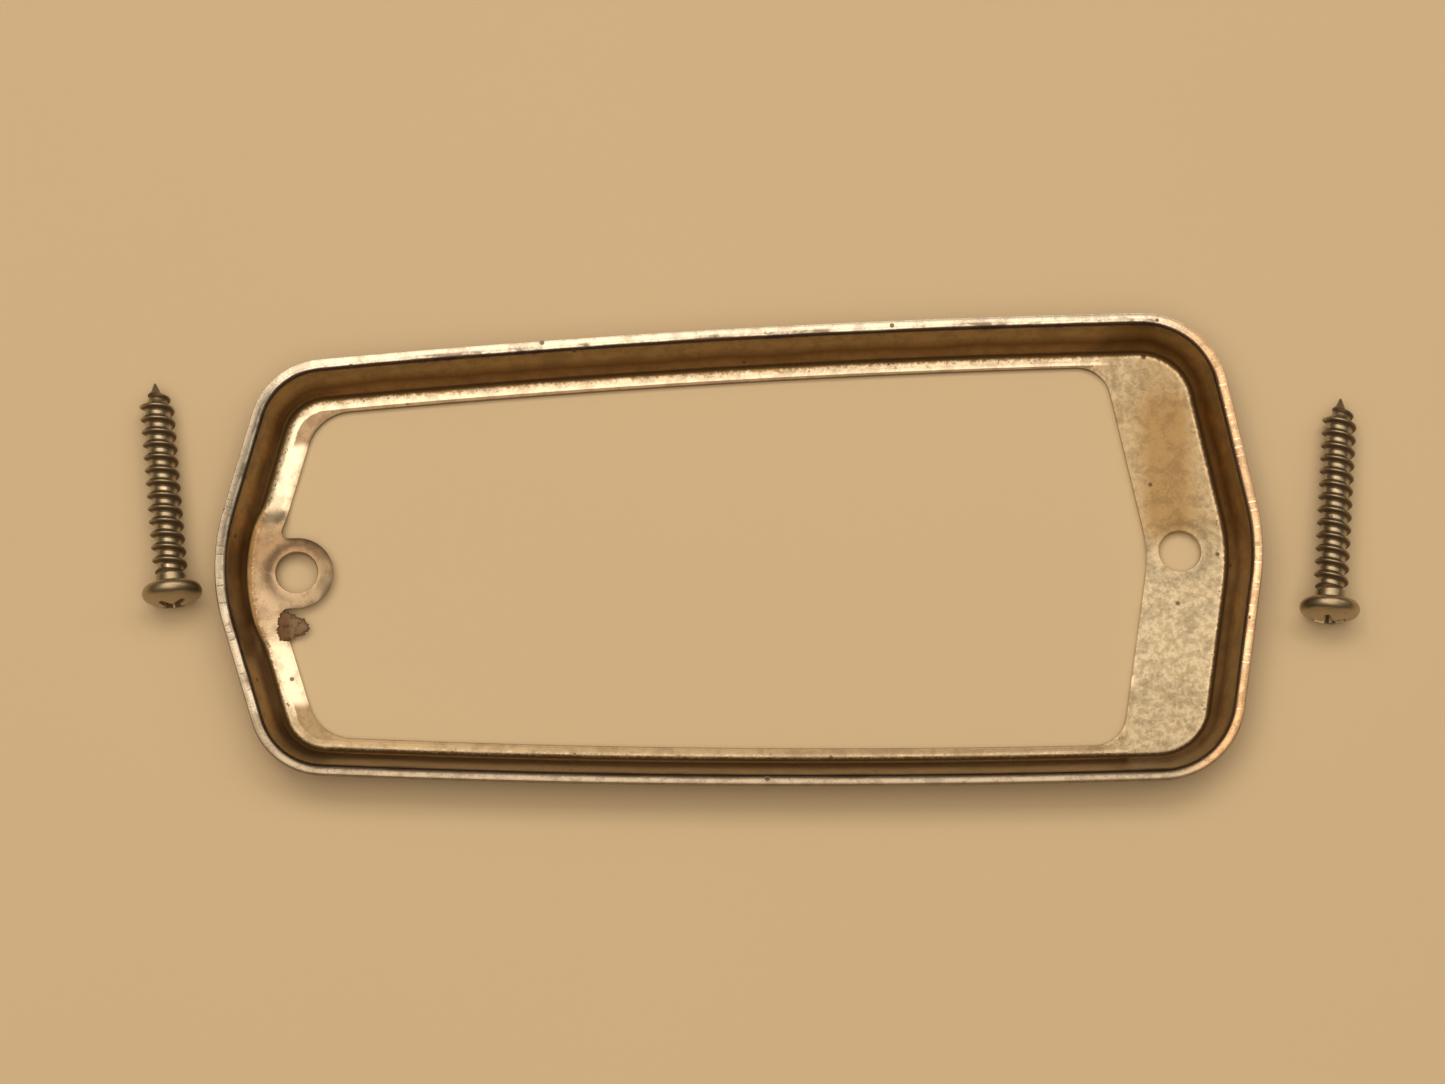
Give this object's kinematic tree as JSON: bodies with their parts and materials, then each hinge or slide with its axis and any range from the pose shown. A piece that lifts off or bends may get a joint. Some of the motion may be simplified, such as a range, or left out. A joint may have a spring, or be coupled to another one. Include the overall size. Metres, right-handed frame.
{
  "type": "trim bezel",
  "caption": "Rectangular pressed-metal trim bezel with a flared lip, leaning wall, open window and dimpled screw holes, one in a tab, shown open side up with its loose pan-head tapping screws.",
  "frame": {"origin": "in the plane of the bezel's flat front face, midway between its screw holes", "axes": "+X along the line of the screw holes towards the wide end of the floor, +Y across, +Z out of the open back"},
  "size_m": [0.1436, 0.056, 0.007],
  "materials": {
    "plated_sheet": "bright plating, stained and dull on the flat floor",
    "screw_steel": "dull, darkened in the thread"
  },
  "bodies": {
    "bezel": {"bezel": "plated_sheet"},
    "left_screw": {"left_screw": "screw_steel"},
    "right_screw": {"right_screw": "screw_steel"}
  },
  "joints": [
    {"name": "left_screw_lift", "type": "slide", "parent": "bezel", "child": "left_screw", "axis": [0, 0, 1], "range_m": [0, 0.04]},
    {"name": "right_screw_lift", "type": "slide", "parent": "bezel", "child": "right_screw", "axis": [0, 0, 1], "range_m": [0, 0.04]}
  ]
}
